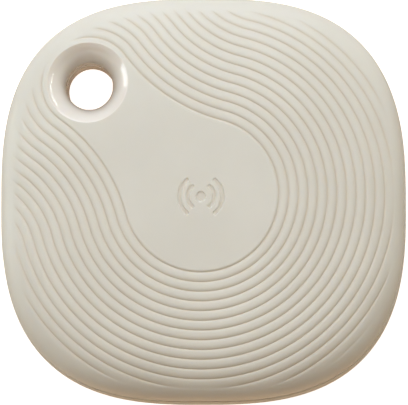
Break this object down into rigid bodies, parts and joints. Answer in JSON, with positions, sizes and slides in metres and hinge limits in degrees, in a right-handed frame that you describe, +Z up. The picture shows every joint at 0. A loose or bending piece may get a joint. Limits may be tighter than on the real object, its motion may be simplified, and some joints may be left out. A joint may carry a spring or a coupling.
{
  "type": "bluetooth tracker tag",
  "caption": "Rounded-square pocket tracker tag with a crowned press-to-ring front cover, a flat back, an eyelet through one corner and a replaceable coin cell inside.",
  "frame": {"origin": "middle of the flat back, on the surface the tag lies on", "axes": "+Z up through the crowned front face; the eyelet is in the corner towards -X and +Y"},
  "size_m": [0.039, 0.039, 0.0099],
  "materials": {
    "shell": "cream moulded plastic, fine satin grain, polished inside the eyelet",
    "seal": "soft silicone, matt",
    "frame_plastic": "black glass-filled plastic",
    "board": "green solder mask over fibreglass",
    "chip": "black moulded package",
    "ceramic": "fired ceramic",
    "capacitor": "brown ceramic with tinned ends",
    "steel": "nickel-plated steel",
    "cell_cap": "nickel-plated steel cap",
    "contact_gold": "gold-plated spring metal",
    "sounder_brass": "rolled brass",
    "gasket": "grey sealing plastic"
  },
  "bodies": {
    "rear_half": {"rear_cover": "shell", "perimeter_seal": "seal", "eyelet_sleeve": "seal", "sounder_glue_ring": "seal", "sounder_plate": "sounder_brass", "sounder_ceramic": "ceramic"},
    "electronics": {"inner_frame": "frame_plastic", "main_board": "board", "cap_contact": "contact_gold", "side_contact": "contact_gold", "sounder_contact_plate": "contact_gold", "sounder_contact_ceramic": "contact_gold", "switch_base": "frame_plastic", "switch_dome": "steel", "switch_cover": "steel", "radio_chip": "chip", "fast_crystal": "steel", "slow_crystal": "steel", "chip_antenna": "ceramic", "sounder_driver": "chip", "boost_inductor": "chip", "capacitor_1": "capacitor", "capacitor_2": "capacitor", "capacitor_3": "capacitor", "capacitor_4": "capacitor", "resistor_1": "chip", "resistor_2": "chip", "resistor_3": "chip"},
    "battery": {"battery_can": "steel", "battery_gasket": "gasket", "battery_cap": "cell_cap"},
    "front": {"front_cover": "shell", "press_pad": "seal"},
    "plunger": {"switch_plunger": "frame_plastic"}
  },
  "joints": [
    {"name": "case_open", "type": "slide", "parent": "rear_half", "child": "electronics", "axis": [0, 0, 1], "range_m": [0, 0.018]},
    {"name": "front_press", "type": "slide", "parent": "electronics", "child": "front", "axis": [0, 0, -1], "range_m": [0, 0.0002], "stiffness_N_per_m": 6000},
    {"name": "plunger_press", "type": "slide", "parent": "electronics", "child": "plunger", "axis": [0, 0, -1], "range_m": [0, 0.0002], "deforming": ["switch_dome"]},
    {"name": "battery_release", "type": "slide", "parent": "electronics", "child": "battery", "axis": [0, 0, -1], "range_m": [0, 0.009]}
  ],
  "couplings": [
    {"joint": "plunger_press", "follows": "front_press", "ratio": 1},
    {"joint": "battery_release", "follows": "case_open", "ratio": 0.5}
  ]
}
